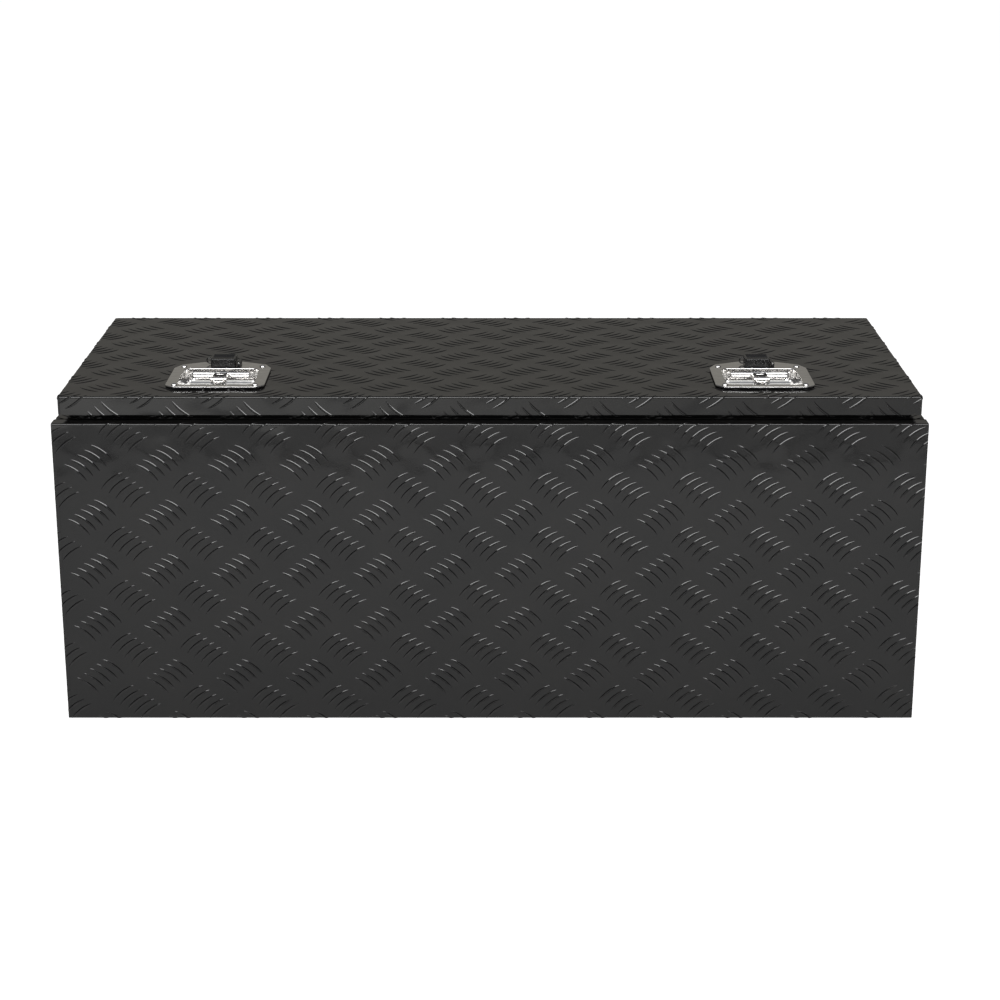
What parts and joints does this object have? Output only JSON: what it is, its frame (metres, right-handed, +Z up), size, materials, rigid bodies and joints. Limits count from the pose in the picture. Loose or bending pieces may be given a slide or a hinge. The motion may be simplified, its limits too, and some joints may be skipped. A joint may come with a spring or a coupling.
{
  "type": "underbody truck tool box",
  "caption": "Black five-bar tread-plate tool chest with a full-width hinged lid on gas struts and recessed folding T-handle latches with capped key locks.",
  "frame": {"origin": "middle of the underside, on the surface that the chest stands on", "axes": "+X along the chest's length, to the right seen from the front; +Y to the hinged back; +Z up"},
  "size_m": [1.22, 0.482, 0.4986],
  "materials": {
    "powder_coat": "semi-gloss black powder coat on five-bar tread plate",
    "polished_steel": "polished stainless steel",
    "hinge_steel": "plain stainless steel strip",
    "bright_zinc": "bright zinc plate",
    "black_steel": "black enamel",
    "black_rubber": "matt moulded rubber",
    "brass": "turned brass"
  },
  "bodies": {
    "chest": {"body_wrap": "powder_coat", "left_end_panel": "powder_coat", "right_end_panel": "powder_coat", "rim_seal": "black_rubber", "hinge_body_leaf": "hinge_steel", "hinge_pin": "hinge_steel", "strut_wall_bracket_left": "bright_zinc", "strut_wall_bracket_right": "bright_zinc"},
    "lid": {"lid_skin": "powder_coat", "lid_stiffener_left": "powder_coat", "lid_stiffener_middle": "powder_coat", "lid_stiffener_right": "powder_coat", "hinge_lid_leaf": "hinge_steel", "strut_lid_bracket_left": "bright_zinc", "strut_lid_bracket_right": "bright_zinc", "latch_gasket_left": "black_rubber", "latch_plate_left": "polished_steel", "lock_barrel_left": "polished_steel", "lock_nut_left": "bright_zinc", "cap_hinge_block_left": "black_rubber", "cap_pin_left": "polished_steel", "latch_screw_1_left": "polished_steel", "latch_screw_2_left": "polished_steel", "latch_screw_3_left": "polished_steel", "latch_screw_4_left": "polished_steel", "latch_gasket_right": "black_rubber", "latch_plate_right": "polished_steel", "lock_barrel_right": "polished_steel", "lock_nut_right": "bright_zinc", "cap_hinge_block_right": "black_rubber", "cap_pin_right": "polished_steel", "latch_screw_1_right": "polished_steel", "latch_screw_2_right": "polished_steel", "latch_screw_3_right": "polished_steel", "latch_screw_4_right": "polished_steel"},
    "strut_tube_left": {"strut_tube_left": "black_steel"},
    "strut_rod_left": {"strut_rod_left": "polished_steel"},
    "latch_spindle_left": {"latch_hub_left": "polished_steel", "handle_pin_left": "polished_steel", "latch_tongue_left": "bright_zinc", "tongue_nut_left": "bright_zinc"},
    "t_handle_left": {"t_handle_left": "polished_steel"},
    "key_plug_left": {"lock_plug_left": "brass", "lock_cam_left": "bright_zinc"},
    "weather_cap_left": {"weather_cap_left": "black_rubber"},
    "strut_tube_right": {"strut_tube_right": "black_steel"},
    "strut_rod_right": {"strut_rod_right": "polished_steel"},
    "latch_spindle_right": {"latch_hub_right": "polished_steel", "handle_pin_right": "polished_steel", "latch_tongue_right": "bright_zinc", "tongue_nut_right": "bright_zinc"},
    "t_handle_right": {"t_handle_right": "polished_steel"},
    "key_plug_right": {"lock_plug_right": "brass", "lock_cam_right": "bright_zinc"},
    "weather_cap_right": {"weather_cap_right": "black_rubber"}
  },
  "joints": [
    {"name": "lid_hinge", "type": "hinge", "parent": "chest", "child": "lid", "pos_m": [0, 0.2257, 0.456], "axis": [-1, 0, 0], "range_deg": [0, 85]},
    {"name": "strut_tube_swing_left", "type": "hinge", "parent": "chest", "child": "strut_tube_left", "pos_m": [-0.566, 0.15845, 0.23605], "axis": [-1, 0, 0], "range_deg": [0, 42.5]},
    {"name": "strut_rod_swing_left", "type": "hinge", "parent": "lid", "child": "strut_rod_left", "pos_m": [-0.566, -0.00416, 0.464], "axis": [-1, 0, 0], "range_deg": [-42.5, 0]},
    {"name": "strut_tube_swing_right", "type": "hinge", "parent": "chest", "child": "strut_tube_right", "pos_m": [0.566, 0.15845, 0.23605], "axis": [-1, 0, 0], "range_deg": [0, 42.5]},
    {"name": "strut_rod_swing_right", "type": "hinge", "parent": "lid", "child": "strut_rod_right", "pos_m": [0.566, -0.00416, 0.464], "axis": [-1, 0, 0], "range_deg": [-42.5, 0]},
    {"name": "handle_turn_left", "type": "hinge", "parent": "lid", "child": "latch_spindle_left", "pos_m": [-0.388, -0.1396, 0.483], "axis": [0, 0, -1], "range_deg": [0, 90]},
    {"name": "handle_lift_left", "type": "hinge", "parent": "latch_spindle_left", "child": "t_handle_left", "pos_m": [-0.388, -0.1396, 0.4813], "axis": [1, 0, 0], "range_deg": [0, 90]},
    {"name": "key_turn_left", "type": "hinge", "parent": "lid", "child": "key_plug_left", "pos_m": [-0.388, -0.0746, 0.483], "axis": [0, 0, 1], "range_deg": [0, 90]},
    {"name": "cap_flip_left", "type": "hinge", "parent": "lid", "child": "weather_cap_left", "pos_m": [-0.3656, -0.0746, 0.4905], "axis": [0, 1, 0], "range_deg": [0, 110]},
    {"name": "handle_turn_right", "type": "hinge", "parent": "lid", "child": "latch_spindle_right", "pos_m": [0.388, -0.1396, 0.483], "axis": [0, 0, 1], "range_deg": [0, 90]},
    {"name": "handle_lift_right", "type": "hinge", "parent": "latch_spindle_right", "child": "t_handle_right", "pos_m": [0.388, -0.1396, 0.4813], "axis": [1, 0, 0], "range_deg": [0, 90]},
    {"name": "key_turn_right", "type": "hinge", "parent": "lid", "child": "key_plug_right", "pos_m": [0.388, -0.0746, 0.483], "axis": [0, 0, -1], "range_deg": [0, 90]},
    {"name": "cap_flip_right", "type": "hinge", "parent": "lid", "child": "weather_cap_right", "pos_m": [0.4104, -0.0746, 0.4905], "axis": [0, 1, 0], "range_deg": [0, 110]}
  ],
  "couplings": [
    {"joint": "strut_tube_swing_left", "follows": "lid_hinge", "ratio": 0.5},
    {"joint": "strut_rod_swing_left", "follows": "lid_hinge", "ratio": -0.5},
    {"joint": "strut_tube_swing_right", "follows": "lid_hinge", "ratio": 0.5},
    {"joint": "strut_rod_swing_right", "follows": "lid_hinge", "ratio": -0.5},
    {"joint": "handle_lift_left", "follows": "handle_turn_left", "ratio": 1},
    {"joint": "handle_lift_right", "follows": "handle_turn_right", "ratio": 1}
  ]
}
